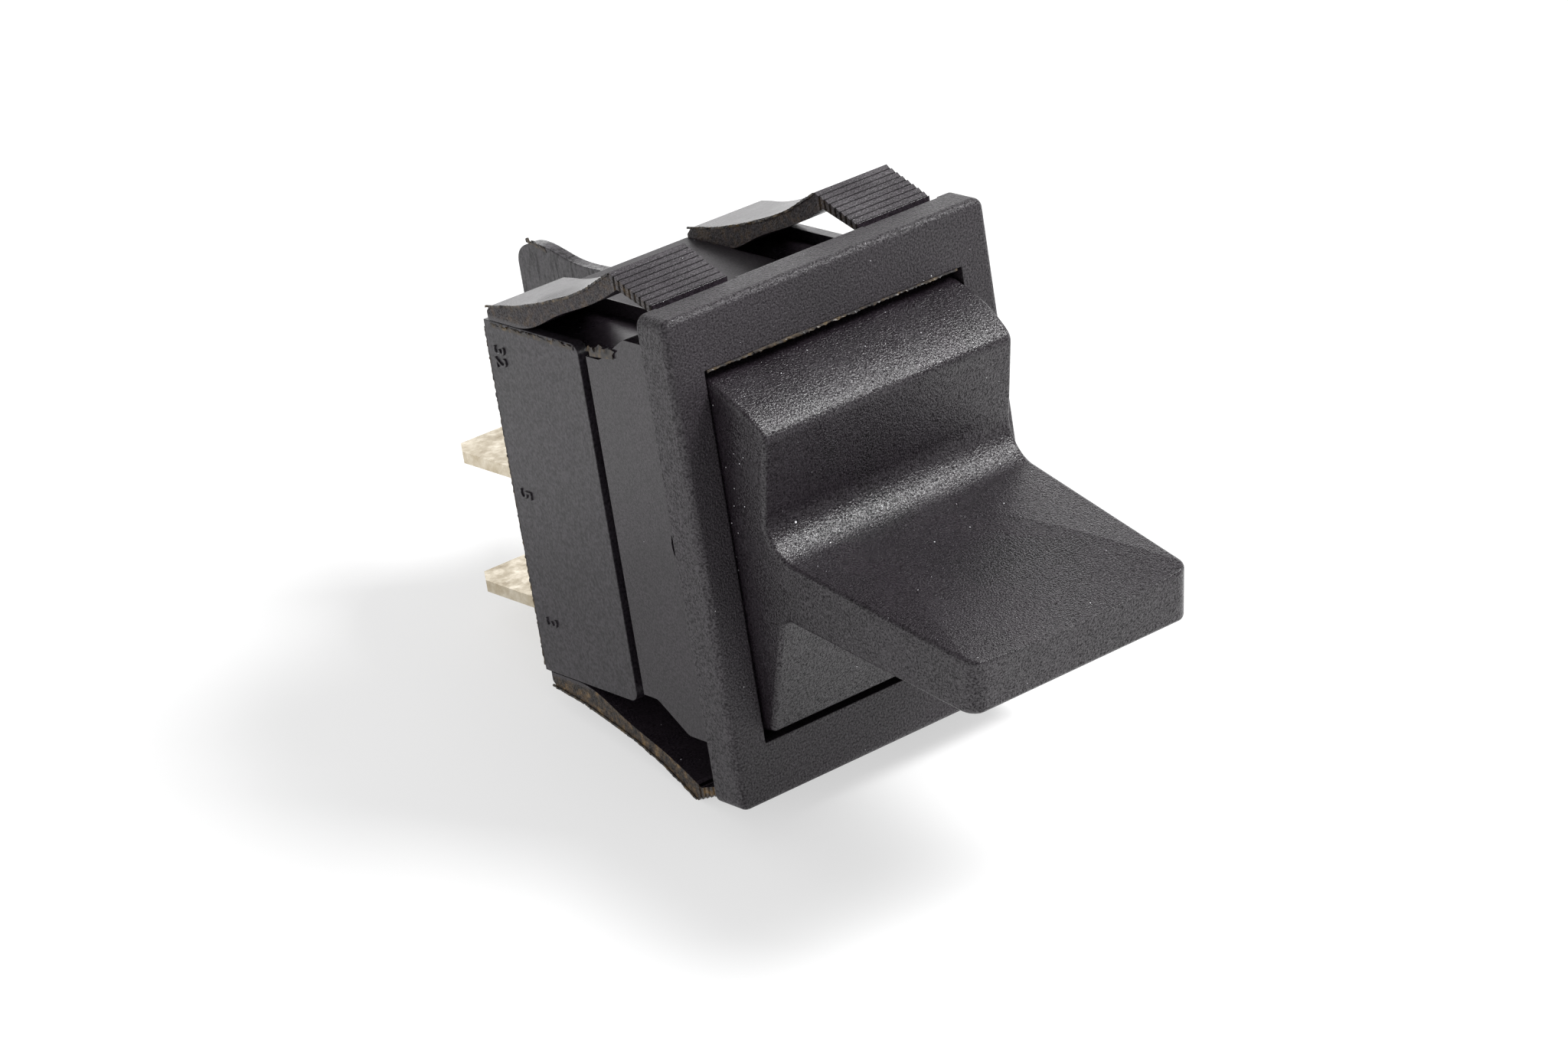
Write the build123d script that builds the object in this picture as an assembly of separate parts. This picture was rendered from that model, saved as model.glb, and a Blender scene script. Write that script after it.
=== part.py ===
from build123d import *
import os
from math import atan2, cos, degrees, radians, sin, sqrt, tan

# Snap-in rocker switch with a long paddle, momentary, two poles, four blade terminals.
# Frame: X to the right and Z up as seen from the front, Y from the front to the rear.
# The origin is the centre of the panel cut-out, on the plane where the flange meets the panel.
# The paddle points to -Y, the terminals to +Y. All sizes are millimetres.

# Flange and rocker window
flange_width = 25.1
flange_height = 31.8
flange_thickness = 2.6
flange_corner_radius = 0.7
flange_edge_radius = 0.45
window_width = 20.2
window_height = 24.2

# Moulded body behind the flange
body_wall = 0.65
end_wall = 0.95
chamber_depth = 4.4
slope_depth = 2.8
side_wall_depth = 8.6
body_depth = 18.55
deck_height = 22.5
deck_thickness = 1.0
middle_deck_width = 10.1
middle_deck_rise = 0.95

# Snap wings, rooted at the rear and free at the flange
wing_width = 5.8
wing_root_thickness = 0.95
wing_root_length = 1.6
wing_root_radius = 0.5
wing_root_corner_radius = 0.2
wing_back_rear_rise = 1.15
wing_back_front_rise = 2.9
wing_thickness = 1.0
wing_crest_height = 34.8
wing_crest_depth = 4.4
wing_tip_height = 31.9
wing_tip_thickness = 0.55
wing_tip_gap = 0.6
wing_relief_depth = 0.15
wing_relief_margin = 0.1
tooth_count = 8
tooth_depth = 0.13

# Terminal base, whose cheeks lap over the sides of the body
base_width = 21.8
base_front = 9.2
base_depth = 18.95
base_rear_wall = 2.2
base_floor_wall = 0.6
cheek_thickness = 0.75
cheek_height = 23.8
cheek_corner_radius = 0.7
cavity_wall = 1.6
middle_wall = 2.0
barrier_thickness = 0.8
barrier_reach = 30.0
barrier_step = 0.5
barrier_rise = 0.55
barrier_crown_depth = 28.3
barrier_rear_drop = 1.6
barrier_corner_radius = 1.2
lap_lip_thickness = 0.75
lap_lip_length = 1.8
lap_clearance = 0.05

# Rocker and paddle, drawn upright and then tilted to rest
pivot_depth = 1.35
pivot_radius = 1.45
pivot_clearance = 0.05
pivot_reach = 0.5
rest_tilt = 11.0
rocker_side_gap = 0.17
rocker_draft = 3.85
rocker_end_gap = 0.19
slope_bulge = 0.2
ridge_depth = 5.27
ridge_drop = 2.6
saddle_depth = 5.02
shoulder_drop = 1.68
shoulder_depth = 4.65
end_facet_depth = 0.34
skirt_depth = 2.0
lower_face_top_depth = 6.4
lower_face_bottom_depth = 5.2
lower_face_drop = 1.8
paddle_reach = 22.4
paddle_top = 2.03
paddle_bottom = 1.9
paddle_tip_top = 1.66
paddle_tip_bottom = 2.0
paddle_root_radius = 2.4
paddle_corner_radius = 1.15
paddle_top_lip_radius = 0.4
paddle_bottom_lip_radius = 0.35
paddle_belly_radius = 0.9
rocker_edge_radius = 0.3
paddle_dish = 0.5
rocker_wall = 1.4
ear_radius = 2.6

# Pole spacing and the blade terminals
pole_offset = 5.35
blade_width = 6.3
blade_thickness = 0.8
blade_reach = 29.6
blade_taper = 1.0
blade_taper_length = 1.6
blade_hole_radius = 0.85
blade_hole_inset = 4.2
blade_tip_chamfer = 0.2
switched_blade_height = 9.0
slot_clearance = 0.04

# See-saw contact levers
lever_pivot_depth = 10.4
lever_thickness = 0.5
lever_width = 4.0
lever_bend = 10.0
lever_swing = 9.0
lever_contact_arm = 8.4
lever_rest_arm = 7.4
prong_gap = 0.35
prong_length = 1.0
stop_clearance = 0.05

# Silver contacts
button_radius = 1.4
button_thickness = 0.8
button_distance = 7.0
rivet_shank_radius = 0.7
rivet_tail_radius = 1.0
rivet_tail_thickness = 0.25
fixed_button_radius = 1.6
fixed_button_thickness = 0.7
contact_gap_closed = 0.03
tab_width = 5.0
tab_height = 4.4
tab_bend_radius = 0.4

# Plungers and springs
plunger_radius = 1.75
plunger_clearance = 0.05
plunger_tip_radius = 1.2
plunger_neck_length = 1.2
plunger_rest_gap = 0.19
plunger_length = 7.0
plunger_bore_radius = 1.35
plunger_bore_depth = 5.2
plunger_travel = 0.6
sleeve_wall = 0.8
sleeve_front = 0.9
sleeve_length = 6.0
plunger_spring_wire = 0.3
plunger_spring_radius = 1.15
plunger_spring_turns = 7
return_spring_wire = 0.4
return_spring_radius = 1.55
return_spring_turns = 7
return_spring_height = 5.6
spring_seat_clearance = 0.25
spring_boss_wall = 0.7
spring_boss_bore_depth = 5.2
spring_post_radius = 0.9
spring_post_length = 1.3

# Half sizes and places that several pieces share
half_window_width = window_width / 2
half_window_height = window_height / 2
half_body_width = half_window_width + body_wall
half_body_height = half_window_height + end_wall
half_deck = deck_height / 2
deck_inside = half_deck - deck_thickness
half_base_width = base_width / 2
half_cheek_height = cheek_height / 2
half_rocker_width = half_window_width - rocker_side_gap
ridge_height = half_window_height - ridge_drop
shoulder_height = half_window_height - shoulder_drop
lower_face_bottom_height = half_window_height - lower_face_drop
slope_end = chamber_depth + slope_depth
rest_turn = radians(rest_tilt)
tip_centre_reach = (
    (
        lever_pivot_depth
        - pivot_depth
        - lever_thickness / cos(radians(lever_bend - lever_swing))
        - (plunger_tip_radius + plunger_rest_gap) / cos(radians(lever_bend - lever_swing))
    )
    / (cos(rest_turn) + sin(rest_turn) * tan(radians(lever_bend - lever_swing)))
)
plunger_tip = pivot_depth + tip_centre_reach + plunger_tip_radius
sleeve_end = sleeve_front + sleeve_length


def block(x, y, z):
    """A box between two corners, given as (low, high) pairs."""
    size = (x[1] - x[0], y[1] - y[0], z[1] - z[0])
    centre = ((x[0] + x[1]) / 2, (y[0] + y[1]) / 2, (z[0] + z[1]) / 2)
    return Pos(*centre) * Box(*size)


def along_x(face, low, high):
    """A face drawn as (depth, height) and run across the width from low to high."""
    return extrude(Plane.YZ.offset(low) * face, high - low)


def along_y(radius, centre_x, centre_z, low, high):
    """A round bar or bore that runs from front to rear."""
    middle = Pos(centre_x, (low + high) / 2, centre_z)
    return middle * Rot(90, 0, 0) * Cylinder(radius, high - low)


def about_pivot(shape, depth, angle):
    """Turn a shape about the X line through (depth, height 0)."""
    return Pos(0, depth, 0) * Rot(angle, 0, 0) * Pos(0, -depth, 0) * shape


def wing_profile():
    """Side view of a snap wing: concave back, toothed ramp, free tip behind the flange."""
    root_bottom = half_cheek_height + 0.05
    root_top = root_bottom + wing_root_thickness
    crest = (wing_crest_depth, wing_crest_height / 2)
    tip_top = (wing_tip_gap, wing_tip_height / 2)
    root_front = body_depth - wing_root_length
    back = Spline(
        (root_front, root_top + 0.15),
        (body_depth * 0.68, root_top + wing_back_rear_rise),
        (body_depth * 0.4, root_top + wing_back_front_rise),
        crest,
        tangents=((-1, 0.05), (-1, 0.62)),
    )
    teeth = []
    for i in range(tooth_count):
        start = 1 - i / tooth_count
        end = 1 - (i + 1) / tooth_count
        high = tuple(t + (c - t) * start for t, c in zip(tip_top, crest))
        low = tuple(t + (c - t) * end for t, c in zip(tip_top, crest))
        teeth.append(high)
        teeth.append((low[0] + 0.08, low[1] - tooth_depth))
    teeth.append(tip_top)
    apex = (wing_crest_depth - 0.55, wing_crest_height / 2 - wing_thickness)
    tip_bottom = (wing_tip_gap, wing_tip_height / 2 - wing_tip_thickness)
    slot_end = (body_depth - wing_root_length - 1.5, root_bottom)
    belly = Spline(
        apex,
        (body_depth * 0.4, root_top + wing_back_front_rise - wing_thickness * 1.08),
        (body_depth * 0.6, root_top + wing_back_rear_rise + 0.4 - wing_thickness * 1.08),
        slot_end,
        tangents=((1, -0.55), (1, -0.02)),
    )
    outline = Curve() + [
        back,
        Polyline(*teeth),
        Polyline(tip_top, tip_bottom, apex),
        belly,
        Polyline(
            slot_end,
            (body_depth, root_bottom),
            (body_depth, root_top - wing_root_radius),
            (body_depth - wing_root_radius, root_top),
            (root_front, root_top + 0.15),
        ),
    ]
    return make_face(outline)


def snap_wing():
    """One wing at the upper right corner, with the block that ties its root to the deck."""
    outer = half_base_width
    inner = outer - wing_width
    wing = along_x(wing_profile(), inner, outer)
    rear_corner = wing.edges().filter_by(Axis.Z)
    rear_corner = rear_corner.filter_by(lambda e: e.center().Y > body_depth - 0.01 and e.center().X > outer - 0.01)
    wing = fillet(rear_corner, wing_root_corner_radius)
    root_front = body_depth - wing_root_length
    tie = block((inner, half_window_width), (root_front, body_depth), (deck_inside, half_cheek_height + 0.3))
    return wing + tie


def body_section():
    """Side view of the moulded body's outside: deep at the flange, sloping in to the decks."""
    points = [
        (0, half_body_height),
        (chamber_depth, half_body_height),
        (slope_end, half_deck),
        (side_wall_depth, half_deck),
        (side_wall_depth, -half_deck),
        (slope_end, -half_deck),
        (chamber_depth, -half_body_height),
        (0, -half_body_height),
    ]
    face = make_face(Polyline(*points, close=True))
    corners = face.vertices().filter_by(
        lambda v: slope_end - 0.01 < v.X < slope_end + 0.01 or chamber_depth - 0.01 < v.X < chamber_depth + 0.01
    )
    return fillet(corners, 0.8)


def chamber_section():
    """Side view of the room inside the body, open to the front and the rear."""
    return make_face(
        Polyline(
            (-flange_thickness - 1, half_window_height),
            (chamber_depth - 0.4, half_window_height),
            (slope_end - 0.4, deck_inside),
            (body_depth + 1, deck_inside),
            (body_depth + 1, -deck_inside),
            (slope_end - 0.4, -deck_inside),
            (chamber_depth - 0.4, -half_window_height),
            (-flange_thickness - 1, -half_window_height),
            close=True,
        )
    )


def bezel_housing():
    """Flange, body, decks and four snap wings, all one moulding."""
    plate = block(
        (-flange_width / 2, flange_width / 2),
        (-flange_thickness, 0),
        (-flange_height / 2, flange_height / 2),
    )
    plate = fillet(plate.edges().filter_by(Axis.Y), flange_corner_radius)
    plate = fillet(plate.faces().sort_by(Axis.Y)[0].edges(), flange_edge_radius)
    body = along_x(body_section(), -half_body_width, half_body_width)
    for side in (1, -1):
        low, high = sorted((side * deck_inside, side * half_deck))
        body += block((-half_window_width, half_window_width), (side_wall_depth - 1, body_depth), (low, high))
        low, high = sorted((side * deck_inside, side * (half_deck + middle_deck_rise)))
        half = middle_deck_width / 2
        body += block((-half, half), (chamber_depth, body_depth), (low, high))
    room = along_x(chamber_section(), -half_window_width, half_window_width)
    housing = plate + body - room
    wing = snap_wing()
    left_wing = mirror(wing, Plane.YZ)
    relief = block(
        (half_base_width - wing_width - wing_relief_margin, half_base_width + wing_relief_margin),
        (-wing_relief_depth, wing_tip_gap),
        (half_body_height, flange_height / 2 + 1),
    )
    for side in (relief, mirror(relief, Plane.YZ)):
        housing -= side
        housing -= mirror(side, Plane.XY)
    for top in (wing, left_wing):
        housing += top
        housing += mirror(top, Plane.XY)
    hole_radius = pivot_radius + pivot_clearance
    hole = Pos(0, pivot_depth, 0) * Rot(0, 90, 0) * Cylinder(hole_radius, 2 * half_body_width + 1)
    return housing - hole


def barrier():
    """The wall that stands out behind the base between the two poles."""
    top = half_cheek_height - barrier_step
    crown = top + barrier_rise
    end = barrier_reach
    outline = Curve() + [
        Spline(
            (base_depth, top),
            (base_depth + 0.55 * (barrier_crown_depth - base_depth), top + 0.02),
            (barrier_crown_depth, crown),
            (end - 0.45, crown - 0.35 * barrier_rear_drop),
            (end, crown - barrier_rear_drop),
            tangents=((1, 0), (0, -1)),
        ),
        Polyline(
            (end, crown - barrier_rear_drop),
            (end, -half_cheek_height),
            (base_depth, -half_cheek_height),
            (base_depth, top),
        ),
    ]
    face = make_face(outline)
    corner = face.vertices().filter_by(lambda v: v.X > end - 0.01 and v.Y < 0)
    face = fillet(corner, barrier_corner_radius)
    return along_x(face, -barrier_thickness / 2, barrier_thickness / 2)


def blade_slot(side, height):
    """The slot in the rear wall that a terminal blade is pushed through."""
    half = blade_width / 2 + slot_clearance
    rise = blade_thickness / 2 + slot_clearance
    middle = side * pole_offset
    return block(
        (middle - half, middle + half),
        (base_depth - base_rear_wall - 1, base_depth + 1),
        (height - rise, height + rise),
    )


def terminal_base():
    """Rear moulding: two pole rooms, cheeks, a spring boss and the barrier between the poles."""
    inside = deck_inside - lap_clearance
    core = block((-half_base_width, half_base_width), (base_front, base_depth), (-inside, inside))
    cheek_face = make_face(
        Polyline(
            (base_front, -half_cheek_height),
            (base_front, half_cheek_height),
            (base_depth, half_cheek_height),
            (base_depth, -half_cheek_height),
            close=True,
        )
    )
    front_corners = cheek_face.vertices().filter_by(lambda v: v.X < base_front + 0.01)
    cheek_face = fillet(front_corners, cheek_corner_radius)
    for side in (1, -1):
        low, high = sorted((side * (half_base_width - cheek_thickness), side * half_base_width))
        core += along_x(cheek_face, low, high)
        outer = half_window_width - lap_clearance
        low, high = sorted((side * (outer - lap_lip_thickness), side * outer))
        core += block((low, high), (base_front - lap_lip_length, base_front), (-inside, inside))
    room_floor = base_depth - base_rear_wall
    room_height = inside - base_floor_wall
    for side in (1, -1):
        low, high = sorted((side * middle_wall / 2, side * (half_base_width - cavity_wall)))
        core -= block((low, high), (base_front - 1, room_floor), (-room_height, room_height))
    boss_bore = return_spring_radius + return_spring_wire / 2 + spring_seat_clearance
    boss = along_y(boss_bore + spring_boss_wall, 0, return_spring_height, base_front, room_floor)
    bore = along_y(boss_bore, 0, return_spring_height, base_front - 1, base_front + spring_boss_bore_depth)
    core = core + boss - bore
    stop_depth = lever_stop_depth()
    for side in (1, -1):
        middle = side * pole_offset
        core += block(
            (middle - lever_width / 2, middle + lever_width / 2),
            (stop_depth, room_floor),
            (lever_rest_arm - 2.2, lever_rest_arm - 0.8),
        )
        core -= blade_slot(side, 0)
        core -= blade_slot(side, -switched_blade_height)
    return core + barrier()


def lever_stop_depth():
    """Where the back of the lever's short arm stands at rest, plus a hair of clearance."""
    lean = radians(lever_bend - lever_swing)
    return lever_pivot_depth - (lever_rest_arm - 2.2) * tan(lean) + stop_clearance


def rocker_profile():
    """Side view of the rocker drawn upright: end facets, ridge, saddle, paddle and lower face."""
    end_radius = half_window_height - rocker_end_gap
    ends = []
    for sign in (1, -1):
        facet_end = (-end_facet_depth, sign * sqrt(end_radius**2 - (pivot_depth + end_facet_depth) ** 2))
        skirt_end = (skirt_depth, sign * sqrt(end_radius**2 - (skirt_depth - pivot_depth) ** 2))
        mid = (pivot_depth, sign * end_radius)
        ends.append((facet_end, mid, skirt_end))
    top_end, bottom_end = ends
    slope_mid = tuple((3 * s + 2 * e) / 5 for s, e in zip((-shoulder_depth, shoulder_height), top_end[0]))
    slope_mid = (slope_mid[0] - 0.3 * slope_bulge, slope_mid[1] + slope_bulge)
    shoulder = (-shoulder_depth, shoulder_height)
    ridge = (-ridge_depth, ridge_height)
    saddle_end = (-saddle_depth, paddle_top + paddle_root_radius)
    root_end = (-saddle_depth - paddle_root_radius, paddle_top)
    root_bulge = paddle_root_radius * (1 - cos(radians(45)))
    root_mid = (-saddle_depth - root_bulge, paddle_top + root_bulge)
    tip_top = (-paddle_reach, paddle_tip_top)
    tip_bottom = (-paddle_reach, -paddle_tip_bottom)
    belly_root = (-lower_face_top_depth, -paddle_bottom)
    lower_end = (-lower_face_bottom_depth, -lower_face_bottom_height)
    outline = Curve() + [
        ThreePointArc(top_end[2], top_end[1], top_end[0]),
        Spline(
            top_end[0],
            slope_mid,
            shoulder,
            ridge,
            tangents=((-1, -0.2), (ridge_depth - saddle_depth, saddle_end[1] - ridge_height)),
        ),
        Line(ridge, saddle_end),
        ThreePointArc(saddle_end, root_mid, root_end),
        Polyline(root_end, tip_top, tip_bottom, belly_root, lower_end, bottom_end[0]),
        ThreePointArc(bottom_end[0], bottom_end[1], bottom_end[2]),
        Line(bottom_end[2], top_end[2]),
    ]
    face = make_face(outline)
    tip = face.vertices().filter_by(lambda v: v.X < -paddle_reach + 0.01)
    face = fillet(tip.filter_by(lambda v: v.Y > 0), paddle_top_lip_radius)
    tip = face.vertices().filter_by(lambda v: v.X < -paddle_reach + 0.01)
    face = fillet(tip.sort_by(Axis.Y)[0], paddle_bottom_lip_radius)
    belly = face.vertices().filter_by(
        lambda v: abs(v.X + lower_face_top_depth) < 0.01 and abs(v.Y + paddle_bottom) < 0.01
    )
    return fillet(belly, paddle_belly_radius)


def rocker_plan():
    """Plan view of the rocker: straight in the window, drafted to a narrower paddle tip."""
    half = half_rocker_width
    tip_half = half - (paddle_reach - flange_thickness) * tan(radians(rocker_draft))
    points = [
        (-half, skirt_depth + 4),
        (half, skirt_depth + 4),
        (half, -flange_thickness),
        (tip_half, -paddle_reach),
        (-tip_half, -paddle_reach),
        (-half, -flange_thickness),
    ]
    face = make_face(Polyline(*points, close=True))
    corners = face.vertices().filter_by(lambda v: v.Y < -paddle_reach + 0.01)
    return fillet(corners, paddle_corner_radius)


def rocker_side_edges(solid, tip_half):
    """The long edges between the rocker's front faces and its two drafted sides."""
    front = -flange_thickness - rocker_edge_radius * 2
    edges = solid.edges().filter_by(lambda e: e.center().Y < front and abs(e.center().X) > tip_half - 1.3)
    return edges.filter_by(lambda e: e.length > 0.2 and abs((e % 0.5).X) < 0.3)


def upright_rocker():
    """The rocker before it is tilted: shell, ears, trunnions, plunger sleeves and spring post."""
    half = half_rocker_width
    solid = along_x(rocker_profile(), -half, half)
    solid = solid & extrude(Pos(0, 0, -flange_height) * rocker_plan(), 2 * flange_height)
    tip_half = half - (paddle_reach - flange_thickness) * tan(radians(rocker_draft))
    dish_radius = (tip_half**2 + paddle_dish**2) / (2 * paddle_dish)
    dish_length = paddle_reach - saddle_depth - paddle_root_radius
    dish_cutter = along_y(dish_radius, 0, 0, -paddle_reach - 2, -paddle_reach + dish_length)
    slope = degrees(atan2(paddle_dish + paddle_top - paddle_tip_top, dish_length))
    dish_cutter = Rot(slope, 0, 0) * Pos(0, paddle_reach, dish_radius) * dish_cutter
    dish_cutter = Pos(0, -paddle_reach, paddle_tip_top - paddle_dish) * dish_cutter
    solid -= dish_cutter
    solid = fillet(rocker_side_edges(solid, tip_half), rocker_edge_radius)
    inner_half = half - rocker_wall
    inner_height = half_window_height - rocker_end_gap - 2 * rocker_wall
    inner_front = -saddle_depth + rocker_wall
    hollow = block((-inner_half, inner_half), (inner_front, skirt_depth + 5), (-inner_height, inner_height))
    solid -= hollow
    for side in (1, -1):
        low, high = sorted((side * inner_half, side * half))
        ear = Pos((low + high) / 2, pivot_depth, 0) * Rot(0, 90, 0) * Cylinder(ear_radius, high - low)
        solid += ear
        reach = half_window_width + pivot_reach
        low, high = sorted((side * (half - 0.5), side * reach))
        trunnion = Pos((low + high) / 2, pivot_depth, 0) * Rot(0, 90, 0) * Cylinder(pivot_radius, high - low)
        solid += trunnion
        middle = side * pole_offset
        bore = plunger_radius + plunger_clearance
        solid += along_y(bore + sleeve_wall, middle, 0, inner_front - 0.2, sleeve_end)
        solid -= along_y(bore, middle, 0, sleeve_front - 1.4, sleeve_end + 1)
    post_height = (return_spring_height + (pivot_depth - inner_front) * sin(rest_turn)) / cos(rest_turn)
    post = along_y(spring_post_radius, 0, post_height, inner_front - 0.2, inner_front + spring_post_length)
    return solid + post


def paddle_rocker():
    """The rocker at rest, with its paddle hanging down a little."""
    return about_pivot(upright_rocker(), pivot_depth, rest_tilt)


def plunger(side):
    """Hollow plunger with a rounded nose that slides along the lever."""
    middle = side * pole_offset
    start = plunger_tip - plunger_length
    nose_centre = plunger_tip - plunger_tip_radius
    body_end = nose_centre - plunger_neck_length
    shape = along_y(plunger_radius, middle, 0, start, body_end)
    cone = Pos(middle, (body_end + nose_centre) / 2, 0) * Rot(-90, 0, 0) * Cone(
        plunger_radius, plunger_tip_radius, plunger_neck_length
    )
    nose = Pos(middle, nose_centre, 0) * Sphere(plunger_tip_radius)
    shape = shape + cone + nose
    shape -= along_y(plunger_bore_radius, middle, 0, start - 1, start + plunger_bore_depth - 1.2)
    return about_pivot(shape, pivot_depth, rest_tilt)


def coil(radius, wire, turns, low, high):
    """A compression spring along Y, from low to high, with its wire inside both ends."""
    length = high - low - wire
    path = Helix(length / turns, length, radius)
    section = Plane(path @ 0, z_dir=path % 0) * Circle(wire / 2)
    spring = sweep(section, path=path)
    return Pos(0, low + wire / 2, 0) * Rot(-90, 0, 0) * spring


def plunger_spring(side):
    """Spring between the bottom of the rocker's sleeve and the bottom of the plunger's bore."""
    low = sleeve_front - 1.4
    high = plunger_tip - plunger_length + plunger_bore_depth - 1.2
    shape = Pos(side * pole_offset, 0, 0) * coil(
        plunger_spring_radius, plunger_spring_wire, plunger_spring_turns, low, high
    )
    return about_pivot(shape, pivot_depth, rest_tilt)


def return_spring():
    """Spring from the boss in the base to the inside of the rocker's upper end."""
    wall = pivot_depth + saddle_depth - rocker_wall
    outer = return_spring_radius + return_spring_wire / 2
    lowest = return_spring_height - outer
    front = pivot_depth - wall / cos(rest_turn) - lowest * tan(rest_turn) + 0.02
    rear = base_front + spring_boss_bore_depth
    spring = coil(return_spring_radius, return_spring_wire, return_spring_turns, front, rear)
    return Pos(0, 0, return_spring_height) * spring


def lever_strip(bottom, top):
    """Bent strip from its bottom arm to its top arm, drawn level before it is swung to rest."""
    lean = tan(radians(lever_bend))
    back = [
        (lever_pivot_depth - top * lean, top),
        (lever_pivot_depth, 0),
        (lever_pivot_depth - bottom * lean, -bottom),
    ]
    shift = lever_thickness / cos(radians(lever_bend))
    front = [(depth - shift, height) for depth, height in reversed(back)]
    return make_face(Polyline(*back, *front, close=True))


def swing_lever(shape):
    """Turn a shape with the lever from level to its rest on the stop."""
    return about_pivot(shape, lever_pivot_depth, -lever_swing)


def contact_lever(side):
    """See-saw lever of one pole, bent over the edge of the common terminal."""
    middle = side * pole_offset
    strip = along_x(
        lever_strip(lever_contact_arm, lever_rest_arm), middle - lever_width / 2, middle + lever_width / 2
    )
    strip -= on_lever(along_y(rivet_shank_radius, middle, 0, -2, 2))
    return swing_lever(strip)


def on_lever(shape):
    """Place a shape drawn about the lever's back face, at the button's distance down the arm."""
    lean = radians(lever_bend)
    depth = lever_pivot_depth - button_distance * sin(lean)
    height = -button_distance * cos(lean)
    return Pos(0, depth, height) * Rot(-lever_bend, 0, 0) * shape


def lever_contact(side):
    """Silver rivet through the lever: button at the back, tail at the front."""
    middle = side * pole_offset
    button = along_y(button_radius, middle, 0, 0, button_thickness)
    shank = along_y(rivet_shank_radius, middle, 0, -lever_thickness, 0)
    tail = along_y(
        rivet_tail_radius, middle, 0, -lever_thickness - rivet_tail_thickness, -lever_thickness
    )
    return swing_lever(on_lever(button + shank + tail))


def fixed_contact_front():
    """Depth of the fixed contact's face, where the closed lever's button meets it."""
    lean = radians(lever_bend - lever_swing)
    return (
        lever_pivot_depth
        - button_distance * sin(lean)
        + button_thickness * cos(lean)
        + button_radius * sin(lean)
        + contact_gap_closed
    )


def blade(side, height, front):
    """Flat terminal blade from its inner end to its tapered tip, with the usual hole."""
    middle = side * pole_offset
    half = blade_width / 2
    points = [
        (middle - half, front),
        (middle - half, blade_reach - blade_taper_length),
        (middle - half + blade_taper, blade_reach),
        (middle + half - blade_taper, blade_reach),
        (middle + half, blade_reach - blade_taper_length),
        (middle + half, front),
    ]
    face = make_face(Polyline(*points, close=True))
    plate = extrude(Pos(0, 0, height - blade_thickness / 2) * face, blade_thickness)
    tip = plate.edges().filter_by(Axis.X).filter_by(lambda e: e.center().Y > blade_reach - 0.01)
    plate = chamfer(tip, blade_tip_chamfer)
    hole = Pos(middle, blade_reach - blade_hole_inset, height) * Cylinder(blade_hole_radius, 3)
    return plate - hole


def common_terminal(side):
    """Middle blade, whose forked front end carries the lever between two prongs."""
    middle = side * pole_offset
    plate = blade(side, 0, lever_pivot_depth - prong_length)
    half_fork = lever_width / 2 + prong_gap
    fork = block(
        (middle - half_fork, middle + half_fork),
        (lever_pivot_depth - prong_length - 1, lever_pivot_depth + 0.02),
        (-blade_thickness, blade_thickness),
    )
    return plate - fork


def switched_terminal(side):
    """Lower blade, turned up inside the base to face the lever."""
    middle = side * pole_offset
    tab_front = fixed_contact_front() + fixed_button_thickness
    plate = blade(side, -switched_blade_height, tab_front + blade_thickness)
    low = -switched_blade_height - blade_thickness / 2
    tab = block(
        (middle - tab_width / 2, middle + tab_width / 2),
        (tab_front, tab_front + blade_thickness),
        (low, low + tab_height),
    )
    neck = block(
        (middle - tab_width / 2, middle + tab_width / 2),
        (tab_front, tab_front + blade_thickness + 0.5),
        (low, low + blade_thickness),
    )
    shape = plate + tab + neck
    bend = shape.edges().filter_by(Axis.X).filter_by(
        lambda e: abs(e.center().Y - tab_front) < 0.01 and abs(e.center().Z - low) < 0.01
    )
    shape = fillet(bend, tab_bend_radius)
    shank = along_y(rivet_shank_radius, middle, fixed_contact_height(), tab_front - 1, tab_front + 2)
    return shape - shank


def fixed_contact_height():
    """Height of both contacts of a closed pole."""
    lean = radians(lever_bend - lever_swing)
    return -button_distance * cos(lean)


def fixed_contact(side):
    """Silver rivet on the switched terminal's tab, facing the lever."""
    middle = side * pole_offset
    height = fixed_contact_height()
    face = fixed_contact_front()
    tab_front = face + fixed_button_thickness
    button = along_y(fixed_button_radius, middle, height, face, tab_front)
    shank = along_y(rivet_shank_radius, middle, height, tab_front, tab_front + blade_thickness)
    tail = along_y(
        rivet_tail_radius,
        middle,
        height,
        tab_front + blade_thickness,
        tab_front + blade_thickness + rivet_tail_thickness,
    )
    return button + shank + tail


def all_parts():
    """Every separate piece by the name of its node."""
    parts = {
        "bezel_housing": bezel_housing(),
        "terminal_base": terminal_base(),
        "paddle_rocker": paddle_rocker(),
        "return_spring": return_spring(),
    }
    for name, side in (("left", -1), ("right", 1)):
        parts[f"{name}_plunger"] = plunger(side)
        parts[f"{name}_plunger_spring"] = plunger_spring(side)
        parts[f"{name}_contact_lever"] = contact_lever(side)
        parts[f"{name}_lever_contact"] = lever_contact(side)
        parts[f"{name}_common_terminal"] = common_terminal(side)
        parts[f"{name}_switched_terminal"] = switched_terminal(side)
        parts[f"{name}_fixed_contact"] = fixed_contact(side)
    return parts


os.makedirs("parts", exist_ok=True)
for node, shape in all_parts().items():
    export_step(shape, f"parts/{node}.step")
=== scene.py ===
"""Blender looks for a snap-in pulse switch: finishes, moulding flash, studio and camera."""

import math

import bpy
from bpy.props import FloatProperty, FloatVectorProperty, PointerProperty, StringProperty
from mathutils import Matrix, Vector


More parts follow.
